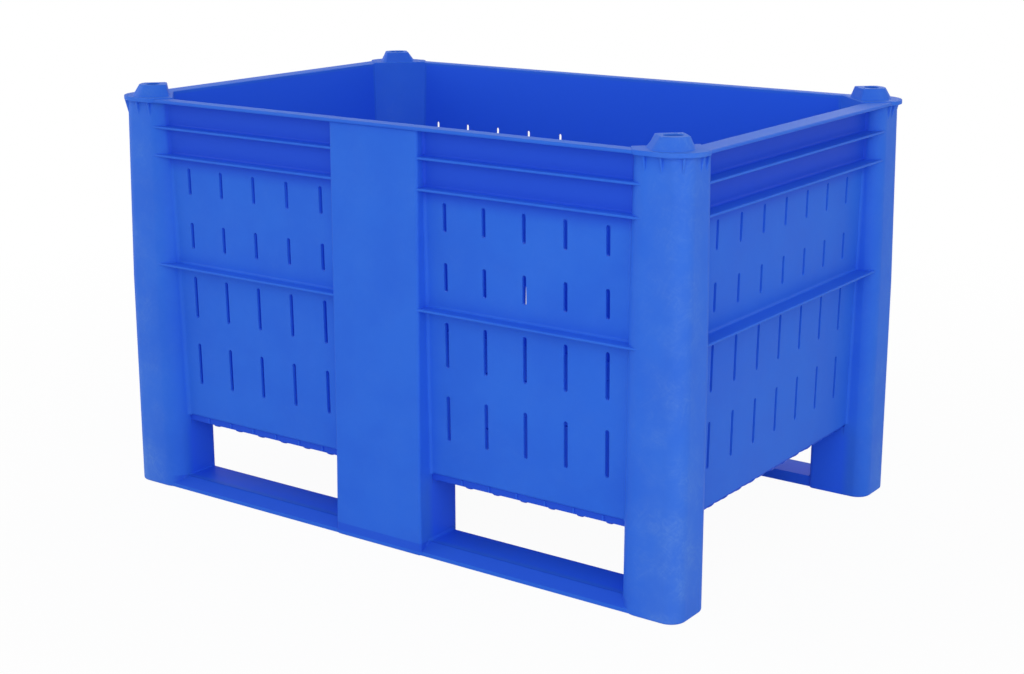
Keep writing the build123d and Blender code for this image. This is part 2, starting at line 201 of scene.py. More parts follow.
# Blue plastic: colours in the open; inside and under the box, painted shade with painted blue bounce
# light; painted shade in the bands; where rubbed, partly painted light
DEEP_BLUE = (0.026, 0.147, 0.785, 1.0)
CLEAR_BLUE = (0.029, 0.163, 0.810, 1.0)
INSIDE_PAINTED_BOUNCE_BLUE = (0.025, 0.136, 0.860, 1.0)
UNDER_PAINTED_BOUNCE_BLUE = (0.026, 0.140, 0.940, 1.0)
PAINTED_SHADE_BLUE = (0.021, 0.101, 0.740, 1.0)
RUBBED_AND_PAINTED_LIGHT_BLUE = (0.215, 0.420, 0.800, 1.0)
SPECULAR_LEVEL = 0.085
EVEN_ROUGHNESS = 0.42
CLOUD_ROUGHNESS = 0.12
WEAR_ROUGHNESS = 0.5

# Soft edges of the places with painted shade by height and by depth from the wall face, and the painted
# shade on the skid ramps
BAND_START = (598.0, 632.0)
UNDER_START = (146.0, 100.0)
WALL_BACK = (-1.5, -4.0)
WALL_FRONT = (-4.8, -4.3)
RIB_SHADE = (8.0, 1.0)
LEG_SHADE = (14.0, -6.0)
RAMP_START = (9.5, 11.5)
RAMP_SHADE = 0.75

# Wear: its share all over, on the corner posts and near the ground, where it also paints a highlight and
# uplight, and the soft edges of those places
WALL_WEAR = 0.03
CORNER_WEAR_AND_HIGHLIGHT = 0.13
GROUND_WEAR_AND_UPLIGHT = 0.14
CORNER_START_X = (490.0, 570.0)
CORNER_START_Y = (280.0, 370.0)
GROUND_START = (320.0, 30.0)
LONG_SIDE_START = (350.0, 362.0)

# Marks of wear: turn, width and length of the streaks, how far they bend, and shares of what makes a mark
RUB_TURN = radians(38)
RUB_SIZE = (6.0, 50.0)
SCRATCH_TURN = radians(-60)
SCRATCH_SIZE = (4.0, 36.0)
STREAK_BEND = 90.0
STREAK_SHARE = 0.45
PATCH_SHARE = 0.35
EVEN_SHARE = 0.42

# Patterns by features per metre or per streak, detail and roughness, and the values over which they rise
CLOUDS = (8.0, 5.0, 0.6)
CLOUD_RISE = (0.32, 0.68)
PATCHES = (15.0, 5.0, 0.6)
PATCH_RISE = (0.34, 0.70)
BENDS = (11.0, 2.0)
STREAKS = (1.0, 3.0, 0.55)
RUB_RISE = (0.40, 0.70)
SCRATCH_RISE = (0.44, 0.70)
WAVES = (9.0, 2.0)
WAVE_STRENGTH = 0.25
WAVE_DEPTH = 4.0
GRAIN = (420.0, 2.0)
GRAIN_STRENGTH = 0.08
GRAIN_DEPTH = 0.6

# Camera and studio, lengths in metres: white share of the floor near the box, lamps by place, size, power
CAMERA_PLACE = (1.8082, -2.5535, 1.1315)
CAMERA_DIP = 15.122
CAMERA_TURN = 35.216
CAMERA_LENS = 60.92
WORLD_LEVEL = 0.56
STUDIO_GREY = (0.85, 0.85, 0.85, 1.0)
STUDIO_WHITENESS = 0.96
STUDIO_FADE = (0.9, 2.6)
STUDIO_HALF = 20.0
WHITE = (1.0, 1.0, 1.0, 1.0)
LAMP_AIM = (0.0, 0.0, 0.4)
LAMPS = {
    "left_lamp": ((-3.53, -1.29, 1.77), 2.4, 31.0),
    "front_lamp": ((1.80, -3.30, 1.77), 2.4, 29.0),
    "right_lamp": ((3.49, -1.41, 1.77), 2.4, 18.0),
    "rear_lamp": ((0.0, 3.63, 2.09), 2.4, 19.0),
}

CORNERS = {"front_left": (-1, -1), "front_right": (1, -1), "rear_left": (-1, 1), "rear_right": (1, 1)}
LONG_SIDES = {"front": (1, -1), "rear": (1, 1)}
END_SIDES = {"left": (-1, 1), "right": (1, 1)}


def wall_x(z):
    """Outer face of the end walls at a height."""
    return WALL_TOP_X - WALL_SLOPE_X * (RIM_SEAT - z)


def wall_y(z):
    """Outer face of the long walls at a height."""
    return WALL_TOP_Y - WALL_SLOPE_Y * (RIM_SEAT - z)


def centre_face(z):
    """Front face of the centre posts at a height."""
    return CENTRE_FRONT - CENTRE_LEAN * z / RIM_SEAT


def corner_lean(z):
    """How far the outer faces of a corner post have come in at a height."""
    if z < KNEE_HEIGHT:
        return KNEE_LEAN * z / KNEE_HEIGHT
    return KNEE_LEAN + (CORNER_LEAN - KNEE_LEAN) * (z - KNEE_HEIGHT) / (RIM_SEAT - KNEE_HEIGHT)


# Nodes

def set_input(tree, socket, value):
    """Gives an input a value, or a link from another node's output."""
    if isinstance(value, bpy.types.NodeSocket):
        tree.links.new(value, socket)
    else:
        socket.default_value = value


def add_node(tree, kind, settings=None, **inputs):
    """Node with its settings and with inputs by name, where an underscore stands for a space."""
    node = tree.nodes.new(kind)
    for setting, value in (settings or {}).items():
        setattr(node, setting, value)
    for label, value in inputs.items():
        set_input(tree, node.inputs[label.replace("_", " ").strip()], value)
    return node


def node_out(tree, kind, settings=None, **inputs):
    """First output of a new node."""
    return add_node(tree, kind, settings, **inputs).outputs[0]


def math_of(tree, operation, first, second=0.0):
    """Output of a sum on one or two numbers or links."""
    node = add_node(tree, "ShaderNodeMath", {"operation": operation})
    set_input(tree, node.inputs[0], first)
    set_input(tree, node.inputs[1], second)
    return node.outputs[0]


def product_of(tree, total, *factors):
    """Output of numbers or links multiplied together."""
    for factor in factors:
        total = math_of(tree, "MULTIPLY", total, factor)
    return total


def sum_of(tree, total, *terms):
    """Output of numbers or links added together."""
    for term in terms:
        total = math_of(tree, "ADD", total, term)
    return total


def vector_of(tree, x, y, z):
    """Output of a vector put together from numbers or links."""
    return node_out(tree, "ShaderNodeCombineXYZ", X=x, Y=y, Z=z)


# Blue plastic

def noise_of(tree, place, scale, detail, roughness=0.5, output=0):
    """Output of a cloudy pattern, about 0.5 on the whole."""
    return add_node(tree, "ShaderNodeTexNoise", Vector=place, Scale=scale, Detail=detail,
                    Roughness=roughness).outputs[output]


def rise_of(tree, value, start, end):
    """Output that rises softly from 0 to 1 while the value goes from start to end."""
    return node_out(tree, "ShaderNodeMapRange", {"interpolation_type": "SMOOTHSTEP"}, Value=value,
                    From_Min=start, From_Max=end)


def step_of(tree, length, start, end):
    """Output that rises softly from 0 to 1 while a length goes from start to end in millimetres."""
    return rise_of(tree, length, start * MM, end * MM)


def bent_place(tree, place):
    """Output of places moved a little this way and that, so that what is drawn on them waves."""
    shifts = noise_of(tree, place, *BENDS, output="Color")
    node = add_node(tree, "ShaderNodeVectorMath", {"operation": "MULTIPLY_ADD"})
    for socket, value in zip(node.inputs, (shifts, [STREAK_BEND * MM] * 3, place)):
        set_input(tree, socket, value)
    return node.outputs[0]


def streaks_of(tree, place, at_side, turn, size):
    """Output of streaks with a width and a length, in the faces of the ends and long sides."""
    width, length = size
    patterns = []
    for rotation in ((turn, 0.0, 0.0), (0.0, turn, 0.0)):
        drawn = node_out(tree, "ShaderNodeMapping", {"vector_type": "TEXTURE"}, Vector=place,
                         Rotation=rotation, Scale=(width * MM, width * MM, length * MM))
        patterns.append(noise_of(tree, drawn, *STREAKS))
    on_end, on_side = patterns
    return node_out(tree, "ShaderNodeMapRange", Value=at_side, To_Min=on_end, To_Max=on_side)


def colour_mix(tree, share, first, second):
    """Output of two colours mixed by a share."""
    node = add_node(tree, "ShaderNodeMix", {"data_type": "RGBA"})
    for index, value in ((0, share), (6, first), (7, second)):
        set_input(tree, node.inputs[index], value)
    return node.outputs[2]


def depth_of(tree, out, height, slope, top):
    """Output of how far a place stands out from the wall face that leans over its height, in metres."""
    foot = (top - slope * RIM_SEAT) * MM
    face = sum_of(tree, product_of(tree, height, slope), foot)
    return math_of(tree, "SUBTRACT", out, face)


def painted_shade_of(tree, out_x, out_y, height):
    """Outputs near 1 inside, under the box, and in the bands, on the ledge and on the skid ramps, where
    shade is painted and rubbing is left out.
    """
    end_depth = depth_of(tree, out_x, height, WALL_SLOPE_X, WALL_TOP_X)
    side_depth = depth_of(tree, out_y, height, WALL_SLOPE_Y, WALL_TOP_Y)
    depth = math_of(tree, "MAXIMUM", end_depth, side_depth)
    below_rim = step_of(tree, height, RIM_SEAT + 2.0, RIM_SEAT - 1.0)
    behind_wall = step_of(tree, depth, *WALL_BACK)
    before_panel = step_of(tree, sum_of(tree, out_x, out_y), PANEL_LINE - 2.0, PANEL_LINE - 8.0)
    inside = product_of(tree, behind_wall, before_panel, below_rim)
    under = product_of(tree, step_of(tree, height, *UNDER_START), step_of(tree, depth, *LEG_SHADE))
    between_ribs = product_of(tree, step_of(tree, height, *BAND_START), below_rim)
    ledge = product_of(tree, step_of(tree, height, LEDGE_TOP + 6.0, LEDGE_TOP - 1.0),
                       step_of(tree, height, FLOOR_RIB_LOW, FLOOR_RIB_LOW + 10.0), behind_wall)
    recess = product_of(tree, step_of(tree, depth, *WALL_FRONT), step_of(tree, depth, *RIB_SHADE))
    # Painted shade in the bands between the ribs, on the ledge under the walls and on the skid ramps
    bands = product_of(tree, recess, math_of(tree, "MAXIMUM", between_ribs, ledge))
    ramp = product_of(tree, step_of(tree, side_depth, *RAMP_START),
                      step_of(tree, height, SKID_TOP + 1.5, SKID_TOP + 0.5),
                      step_of(tree, height, SKID_LIP - 0.5, SKID_LIP + 1.0),
                      step_of(tree, out_x, LEG_SIDE + 28.0, LEG_SIDE + 8.0), RAMP_SHADE)
    return inside, under, math_of(tree, "MAXIMUM", bands, ramp)


def wear_and_painted_light_of(tree, place, out_x, out_y, height):
    """Output of how rubbed the plastic is: most on the corner posts and near the ground, in marks, where
    the paler rubbing also paints a highlight and uplight.
    """
    # The corner share also paints a highlight on the posts, and the ground share paints uplight near the
    # ground
    corner = product_of(tree, step_of(tree, out_x, *CORNER_START_X), step_of(tree, out_y, *CORNER_START_Y))
    low = product_of(tree, corner, step_of(tree, height, *GROUND_START))
    amount = sum_of(tree, product_of(tree, corner, CORNER_WEAR_AND_HIGHLIGHT), product_of(tree, low, GROUND_WEAR_AND_UPLIGHT),
                    WALL_WEAR)
    at_side = step_of(tree, out_y, *LONG_SIDE_START)
    bent = bent_place(tree, place)
    rubbed = rise_of(tree, streaks_of(tree, bent, at_side, RUB_TURN, RUB_SIZE), *RUB_RISE)
    scratched = rise_of(tree, streaks_of(tree, bent, at_side, SCRATCH_TURN, SCRATCH_SIZE), *SCRATCH_RISE)
    streaks = product_of(tree, sum_of(tree, rubbed, scratched), STREAK_SHARE)
    patches = rise_of(tree, noise_of(tree, place, *PATCHES), *PATCH_RISE)
    marks = product_of(tree, patches, sum_of(tree, streaks, PATCH_SHARE))
    return product_of(tree, amount, sum_of(tree, marks, EVEN_SHARE))


def blue_plastic():
    """Satin blue HDPE: cloudy flow marks, painted shade and painted blue bounce light in hollows and under
    the box, rubbed places that partly paint light, and a fine moulded grain.
    """
    material = bpy.data.materials.new("blue_hdpe")
    material.use_nodes = True
    tree = material.node_tree
    place = tree.nodes.new("ShaderNodeTexCoord").outputs["Object"]
    axes = add_node(tree, "ShaderNodeSeparateXYZ", Vector=place).outputs
    height = axes["Z"]
    out_x, out_y = [math_of(tree, "ABSOLUTE", axes[label]) for label in "XY"]
    clouds = noise_of(tree, place, *CLOUDS)
    colour = colour_mix(tree, rise_of(tree, clouds, *CLOUD_RISE), DEEP_BLUE, CLEAR_BLUE)
    inside, under, bands = painted_shade_of(tree, out_x, out_y, height)
    # Painted shade with painted blue bounce light inside the box and under it
    colour = colour_mix(tree, inside, colour, INSIDE_PAINTED_BOUNCE_BLUE)
    colour = colour_mix(tree, under, colour, UNDER_PAINTED_BOUNCE_BLUE)
    # Painted shade in the bands between the ribs, on the ledge and on the skid ramps
    colour = colour_mix(tree, bands, colour, PAINTED_SHADE_BLUE)
    # Rubbing is left out where shade is painted
    painted_shade = math_of(tree, "MAXIMUM", math_of(tree, "MAXIMUM", inside, under), bands)
    wear_and_light = product_of(tree, wear_and_painted_light_of(tree, place, out_x, out_y, height),
                      math_of(tree, "SUBTRACT", 1.0, painted_shade))
    # Rubbed paler: real rubbing marks, with painted highlight on the corner posts and painted uplight near
    # the ground
    colour = colour_mix(tree, wear_and_light, colour, RUBBED_AND_PAINTED_LIGHT_BLUE)
    roughness = sum_of(tree, product_of(tree, wear_and_light, WEAR_ROUGHNESS),
                       product_of(tree, clouds, CLOUD_ROUGHNESS), EVEN_ROUGHNESS)
    waves = node_out(tree, "ShaderNodeBump", Height=noise_of(tree, place, *WAVES), Strength=WAVE_STRENGTH,
                     Distance=WAVE_DEPTH * MM)
    grain = node_out(tree, "ShaderNodeBump", Height=noise_of(tree, place, *GRAIN), Strength=GRAIN_STRENGTH,
                     Distance=GRAIN_DEPTH * MM, Normal=waves)
    shader = tree.nodes["Principled BSDF"]
    shader.inputs["Specular IOR Level"].default_value = SPECULAR_LEVEL
    tree.links.new(colour, shader.inputs["Base Color"])
    tree.links.new(roughness, shader.inputs["Roughness"])
    tree.links.new(grain, shader.inputs["Normal"])
    return material


BLUE_PLASTIC = blue_plastic()


# Mesh making

def add_points(bm, points):
    """New vertices at points given in millimetres."""
    return [bm.verts.new(Vector(point) * MM) for point in points]


def add_skin(bm, loops, closed):
    """Quads between loops of vertices that follow one another; closed joins each loop's ends."""
    for low, high in zip(loops, loops[1:]):
        count = len(low)
        for i in range(count if closed else count - 1):
            j = (i + 1) % count
            bm.faces.new((low[i], low[j], high[j], high[i]))


def add_loft(bm, rings):
    """Closed solid through rings of points in millimetres, with flat ends."""
    loops = [add_points(bm, ring) for ring in rings]
    add_skin(bm, loops, True)
    bm.faces.new(loops[0])
    bm.faces.new(loops[-1])


def add_block(bm, low, high):
    """Closed block between two corners in millimetres."""
    (x0, y0, z0), (x1, y1, z1) = low, high
    base = [(x0, y0), (x1, y0), (x1, y1), (x0, y1)]
    add_loft(bm, [at_height(base, z) for z in (z0, z1)])


def arc(cx, cy, radius, start, end, steps):
    """Points on a circle from one angle to another, in degrees, both ends included."""
    angles = [radians(start + (end - start) * i / steps) for i in range(steps + 1)]
    return [(cx + radius * cos(angle), cy + radius * sin(angle)) for angle in angles]


def at_height(points, z):
    """Plan points lifted to a height."""
    return [(x, y, z) for x, y in points]


def finish_piece(bm, signs, name, nodes, edge_radius, edge_steps=2):
    """Mirrors a mesh to the corner with these signs and makes it a piece that stands for CAD nodes."""
    for vert in bm.verts:
        vert.co.x *= signs[0]
        vert.co.y *= signs[1]
    bmesh.ops.recalc_face_normals(bm, faces=bm.faces)
    mesh = bpy.data.meshes.new(name)
    bm.to_mesh(mesh)
    bm.free()
    mesh.shade_smooth()
    mesh.set_sharp_from_angle(angle=SHARP_ANGLE)
    # Clearing also sets back the material numbers that faces bring from a layout
    mesh.materials.clear()
    mesh.materials.append(BLUE_PLASTIC)
    piece = bpy.data.objects.new(name, mesh)
    bpy.context.scene.collection.objects.link(piece)
    bevel = piece.modifiers.new("moulded_edges", "BEVEL")
    bevel.width = edge_radius * MM
    bevel.segments = edge_steps
    bevel.limit_method = "ANGLE"
    bevel.angle_limit = ROUND_ANGLE
    normals = piece.modifiers.new("flat_faces", "WEIGHTED_NORMAL")
    normals.keep_sharp = True
    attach(piece, "root")
    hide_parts(*nodes)


# Geometry node layouts for what repeats: vent slots, floor slots and floor ribs

def new_layout(name, lengths, counts, choices=()):
    """Empty geometry node tree with named lengths, counts and choices as inputs."""
    tree = bpy.data.node_groups.new(name, "GeometryNodeTree")
    tree.interface.new_socket("Geometry", in_out="OUTPUT", socket_type="NodeSocketGeometry")
    for kind, labels in (("Float", lengths), ("Int", counts), ("Bool", choices)):
        for label in labels:
            tree.interface.new_socket(label, in_out="INPUT", socket_type="NodeSocket" + kind)
    return tree, tree.nodes.new("NodeGroupInput").outputs


def joined(tree, *parts):
    """Output of several geometries taken together."""
    node = tree.nodes.new("GeometryNodeJoinGeometry")
    for part in parts:
        tree.links.new(part, node.inputs[0])
    return node.outputs[0]


def rectangle_of(tree, width, height):
    """Output of a rectangle round the origin."""
    return node_out(tree, "GeometryNodeCurvePrimitiveQuadrilateral", {"mode": "RECTANGLE"},
                    Width=width, Height=height)


def slot_of(tree, width, height, narrow):
    """Output of a slot outline with round ends, across its narrow size."""
    # Just under half, so that the two roundings of an end don't meet
    radius = product_of(tree, narrow, 0.4995)
    return node_out(tree, "GeometryNodeFilletCurve", {"mode": "POLY"}, Count=4, Radius=radius,
                    Curve=rectangle_of(tree, width, height))


def row_of(tree, instance, count, start, pitch, rotation=(0.0, 0.0, 0.0)):
    """Output of copies set out along X from a start."""
    places = node_out(tree, "GeometryNodeMeshLine", {"mode": "OFFSET"}, Count=count, Start_Location=start,
                      Offset=vector_of(tree, pitch, 0.0, 0.0))
    return node_out(tree, "GeometryNodeInstanceOnPoints", Points=places, Instance=instance,
                    Rotation=rotation)


def realized(tree, geometry):
    """Output of copies made real."""
    return node_out(tree, "GeometryNodeRealizeInstances", Geometry=geometry)


def other_side(tree, geometry):
    """Output of a geometry mirrored in X."""
    return node_out(tree, "GeometryNodeTransform", Geometry=geometry, Scale=(-1.0, 1.0, 1.0))


def plate_of(tree, outlines, thickness):
    """Output of a plate: the outlines filled round their holes and thickened upwards."""
    face = node_out(tree, "GeometryNodeFillCurve", {"mode": "NGONS"}, Curve=outlines)
    raised = node_out(tree, "GeometryNodeExtrudeMesh", {"mode": "FACES"},
                      Mesh=face, Offset_Scale=thickness, Individual=False)
    underside = node_out(tree, "GeometryNodeFlipFaces", Mesh=face)
    return node_out(tree, "GeometryNodeMergeByDistance", Geometry=joined(tree, raised, underside),
                    Distance=0.00001)


def finish_layout(tree, geometry):
    """Ends a tree with real geometry in blue plastic."""
    blue = node_out(tree, "GeometryNodeSetMaterial", Geometry=realized(tree, geometry),
                    Material=BLUE_PLASTIC)
    tree.links.new(blue, tree.nodes.new("NodeGroupOutput").inputs[0])


def vented_panel_layout():
    """Wall panel, wider or narrower at the top, with rows of upright vent slots in one or two bays."""
    lengths = ["Bottom Width", "Top Width", "Height", "Thickness", "Slot Width", "Slot Pitch",
               "Bay Centre"]
    for row in range(len(SLOT_ROWS)):
        lengths += [f"Row {row + 1} Height", f"Row {row + 1} Length"]
    tree, size = new_layout("vented_panel", lengths, ["Slots"], ["Two Bays"])
    outline = node_out(tree, "GeometryNodeCurvePrimitiveQuadrilateral", {"mode": "TRAPEZOID"},
                       Bottom_Width=size["Bottom Width"], Top_Width=size["Top Width"],
                       Height=size["Height"], Offset=0.0)
    half_height = product_of(tree, size["Height"], 0.5)
    outline = node_out(tree, "GeometryNodeTransform", Geometry=outline,
                       Translation=vector_of(tree, 0.0, half_height, 0.0))
    half_span = product_of(tree, math_of(tree, "SUBTRACT", size["Slots"], 1.0), 0.5, size["Slot Pitch"])
    first = math_of(tree, "SUBTRACT", size["Bay Centre"], half_span)
    rows = []
    for row in range(len(SLOT_ROWS)):
        slot = slot_of(tree, size["Slot Width"], size[f"Row {row + 1} Length"], size["Slot Width"])
        start = vector_of(tree, first, size[f"Row {row + 1} Height"], 0.0)
        rows.append(row_of(tree, slot, size["Slots"], start, size["Slot Pitch"]))
    bay = realized(tree, joined(tree, *rows))
    bays = node_out(tree, "GeometryNodeSwitch", {"input_type": "GEOMETRY"}, Switch=size["Two Bays"],
                    False_=bay, True_=joined(tree, bay, other_side(tree, bay)))
    finish_layout(tree, plate_of(tree, joined(tree, outline, bays), size["Thickness"]))
    return tree


def slotted_deck_layout():
    """Level floor plate with a grid of drain slots."""
    lengths = ["Length", "Width", "Thickness", "Slot Length", "Slot Width", "Pitch X", "Pitch Y"]
    tree, size = new_layout("slotted_deck", lengths, ["Columns", "Rows"])
    outline = rectangle_of(tree, size["Length"], size["Width"])
    slot = slot_of(tree, size["Slot Length"], size["Slot Width"], size["Slot Width"])
    spans = [product_of(tree, math_of(tree, "SUBTRACT", size[count], 1.0), size[pitch])
             for count, pitch in (("Columns", "Pitch X"), ("Rows", "Pitch Y"))]
    places = node_out(tree, "GeometryNodeMeshGrid", Size_X=spans[0], Size_Y=spans[1],
                      Vertices_X=size["Columns"], Vertices_Y=size["Rows"])
    slots = node_out(tree, "GeometryNodeInstanceOnPoints", Points=places, Instance=slot)
    outlines = joined(tree, outline, realized(tree, slots))
    finish_layout(tree, plate_of(tree, outlines, size["Thickness"]))
    return tree


def floor_rib_layout():
    """Row of upright ribs across the floor on both sides of its middle, with rounded lower ends."""
    lengths = ["Length", "Depth", "Thickness", "End Radius", "First", "Pitch"]
    tree, size = new_layout("floor_ribs", lengths, ["Count"])
    height = add_node(tree, "ShaderNodeSeparateXYZ",
                      Vector=tree.nodes.new("GeometryNodeInputPosition").outputs[0]).outputs["Y"]
    lower_only = product_of(tree, math_of(tree, "LESS_THAN", height, 0.0), size["End Radius"])
    outline = node_out(tree, "GeometryNodeFilletCurve", {"mode": "POLY"}, Count=7, Radius=lower_only,
                       Curve=rectangle_of(tree, size["Length"], size["Depth"]))
    rib = plate_of(tree, outline, size["Thickness"])
    first = math_of(tree, "SUBTRACT", size["First"], product_of(tree, size["Thickness"], 0.5))
    ribs = row_of(tree, rib, size["Count"], vector_of(tree, first, 0.0, 0.0), size["Pitch"],
                  (pi / 2, 0.0, pi / 2))
    real = realized(tree, ribs)
    finish_layout(tree, joined(tree, real, other_side(tree, real)))
    return tree


def mesh_from_layout(tree, values):
    """Mesh that a layout makes with these sizes; lengths come in millimetres."""
    holder = bpy.data.objects.new(tree.name, bpy.data.meshes.new(tree.name))
    bpy.context.scene.collection.objects.link(holder)
    layout = holder.modifiers.new("layout", "NODES")
    layout.node_group = tree
    for item in tree.interface.items_tree:
        if item.name in values:
            value = values[item.name]
            layout[item.identifier] = value * MM if isinstance(value, float) else value
    made = bpy.data.meshes.new_from_object(holder.evaluated_get(bpy.context.evaluated_depsgraph_get()))
    bpy.data.objects.remove(holder)
    return made


# Walls

def panel_sizes(half_width_at, slots, bay_centre, two_bays):
    """Sizes of a wall panel from the ledge up, with its slot rows at heights from its foot."""
    values = {
        "Bottom Width": 2 * half_width_at(LEDGE_TOP), "Top Width": 2 * half_width_at(WALL_HEAD),
        "Height": WALL_HEAD - LEDGE_TOP, "Thickness": WALL_THICKNESS, "Slot Width": SLOT_WIDTH,
        "Slot Pitch": SLOT_PITCH, "Slots": slots, "Bay Centre": bay_centre, "Two Bays": two_bays,
    }
    for row, (middle, length) in enumerate(SLOT_ROWS):
        values[f"Row {row + 1} Height"] = middle - LEDGE_TOP
        values[f"Row {row + 1} Length"] = length
    return values


def rib_profile(reach):
    """Section of a wall rib, outwards and up from its middle line: coves at the root, round front edge."""
    half = RIB_THICKNESS / 2
    cove = COVE_RADIUS
    low = [(-2 * LAP, -half - cove)] + arc(cove, -half - cove, cove, 180, 90, COVE_STEPS)
    nose = arc(reach - half, 0, half, -90, 90, 6)
    high = arc(cove, half + cove, cove, 270, 180, COVE_STEPS) + [(-2 * LAP, half + cove)]
    return low + nose + high


def add_cove(bm, corner_at, along, outward):
    """Upright cove that fills the inside corner between a wall and a post."""
    along = Vector(along)
    outward = Vector(outward)
    rings = []
    for z in WALL_LEVELS:
        corner = Vector(corner_at(z))
        middle = corner + COVE_RADIUS * (along + outward)
        ring = [corner - 1.5 * LAP * (along + outward)]
        for step in range(COVE_STEPS + 1):
            turn = pi / 2 * step / COVE_STEPS
            ring.append(middle - COVE_RADIUS * (cos(turn) * outward + sin(turn) * along))
        rings.append(at_height(ring, z))
    add_loft(bm, rings)


def add_post_cove(bm, side):
    """Upright cove that runs smoothly from the long wall into the round flank of a corner post."""
    rings = []
    for z in WALL_LEVELS:
        post = Vector((LEG_SIDE + SIDE_RADIUS, FOOT_Y - corner_lean(z) - SIDE_RADIUS))
        rise = wall_y(z) + POST_COVE - post.y
        middle = Vector((post.x - sqrt((SIDE_RADIUS + POST_COVE) ** 2 - rise ** 2), wall_y(z) + POST_COVE))
        to_post = (post - middle).normalized()
        last_turn = degrees(atan2(to_post.y, to_post.x))
        curve = [Vector(point) for point in arc(*middle, POST_COVE, -90, last_turn, POST_COVE_STEPS)]
        curve[0].y -= POST_COVE_TUCK
        curve[-1] += POST_COVE_TUCK * to_post
        root = (post.x - SIDE_RADIUS + POST_COVE_ROOT, wall_y(z) - 2 * LAP)
        rings.append([(side * x, y, z) for x, y in [root] + curve])
    add_loft(bm, rings)


def round_wall_foot(bm):
    """Rounds the outer lower edge of a wall panel."""
    foot = LEDGE_TOP * MM + 1e-6
    edges = [edge for edge in bm.edges
             if all(vert.co.z < foot for vert in edge.verts) and edge.calc_length() > 0.1]
    outer = max(edges, key=lambda edge: (edge.verts[0].co + edge.verts[1].co).length)
    bmesh.ops.bevel(bm, geom=[outer], offset=HEM_RADIUS * MM, segments=4, profile=0.5, affect="EDGES")


def standing_panel(panel_tree, sizes, face_at, along_x):
    """Mesh of a wall panel that stands on the ledge and follows its leaning face."""
    bm = bmesh.new()
    bm.from_mesh(mesh_from_layout(panel_tree, sizes))
    for vert in bm.verts:
        along, up, out = vert.co
        z = up / MM + LEDGE_TOP
        depth = (face_at(z) - WALL_THICKNESS) * MM + out
        vert.co = (along, depth, z * MM) if along_x else (depth, along, z * MM)
    round_wall_foot(bm)
    return bm


def make_long_wall(panel_tree):
    """Long wall on the +Y side: leaning vented panel, three ribs in each bay, coves beside the posts."""
    bay_centre = CENTRE_HALF + SLOT_MARGIN + SLOT_PITCH * (SLOTS_PER_BAY - 1) / 2
    sizes = panel_sizes(wall_x, SLOTS_PER_BAY, bay_centre, True)
    bm = standing_panel(panel_tree, sizes, wall_y, True)
    for z in RIB_HEIGHTS:
        face = wall_y(z)
        ends = [(CENTRE_HALF - 2 * LAP, centre_face(z) - RIB_SETBACK),
                (LEG_SIDE + SIDE_RADIUS - 2 * LAP, FOOT_Y - corner_lean(z) - RIB_SETBACK)]
        for side in (-1, 1):
            add_loft(bm, [[(side * x, face + out, z + up) for out, up in rib_profile(front - face)]
                          for x, front in ends])
    for side in (-1, 1):
        add_cove(bm, lambda z: (side * CENTRE_HALF, wall_y(z)), (side, 0), (0, 1))
        add_post_cove(bm, side)
    return bm


def make_end_wall(panel_tree):
    """End wall on the +X side: leaning vented panel, three ribs and coves beside the corner posts."""
    inner = WALL_THICKNESS - EMBED / 2
    sizes = panel_sizes(lambda z: wall_y(z) - inner, SLOTS_PER_END, 0.0, False)
    bm = standing_panel(panel_tree, sizes, wall_x, False)
    rib_end = LEG_BACK + END_RADIUS - END_RIB_STOP
    for z in RIB_HEIGHTS:
        face = wall_x(z)
        profile = rib_profile(POST_X - face)
        add_loft(bm, [[(face + out, y, z + up) for out, up in profile] for y in (-rib_end, rib_end)])
    for side in (-1, 1):
        add_cove(bm, lambda z: (wall_x(z), side * LEG_BACK), (0, -side), (1, 0))
    return bm


# Posts and legs

def corner_path(z, shrink):
    """Outer run of a corner post at a height, from the long wall round the corner to the end wall."""
    lean = corner_lean(z)
    tub_z = max(z, TUB_SEAT)
    side_radius = SIDE_RADIUS - shrink
    side_middle = (LEG_SIDE + SIDE_RADIUS, FOOT_Y - lean - SIDE_RADIUS)
    outer_middle = (FOOT_X - lean - OUTER_RADIUS, FOOT_Y - lean - OUTER_RADIUS)
    end_radius = END_RADIUS - shrink
    end_middle = (FOOT_X - lean - END_RADIUS, LEG_BACK + END_RADIUS)
    start_y = wall_y(tub_z) - EMBED
    first_turn = asin(max(start_y - side_middle[1], 0.0) / side_radius)
    start = (side_middle[0] - side_radius * cos(first_turn), start_y)
    finish_x = wall_x(tub_z) - EMBED
    last_turn = acos(max(finish_x - end_middle[0], 0.0) / end_radius)
    finish = (finish_x, end_middle[1] - end_radius * sin(last_turn))
    path = [start] + arc(*side_middle, side_radius, 180 - degrees(first_turn), 90, ROUND_STEPS)[1:]
    path += arc(*outer_middle, OUTER_RADIUS - shrink, 90, 0, ROUND_STEPS)
    path += arc(*end_middle, end_radius, 0, -degrees(last_turn), ROUND_STEPS)[:-1]
    return path + [finish]


def corner_back(shrink):
    """Inner run of a corner leg, which closes the outline behind the outer run."""
    radius = max(INNER_RADIUS - shrink, INNER_RADIUS / 4)
    cx = LEG_SIDE + shrink + radius
    cy = LEG_BACK + shrink + radius
    return arc(cx, cy, radius, 270, 180, 5)


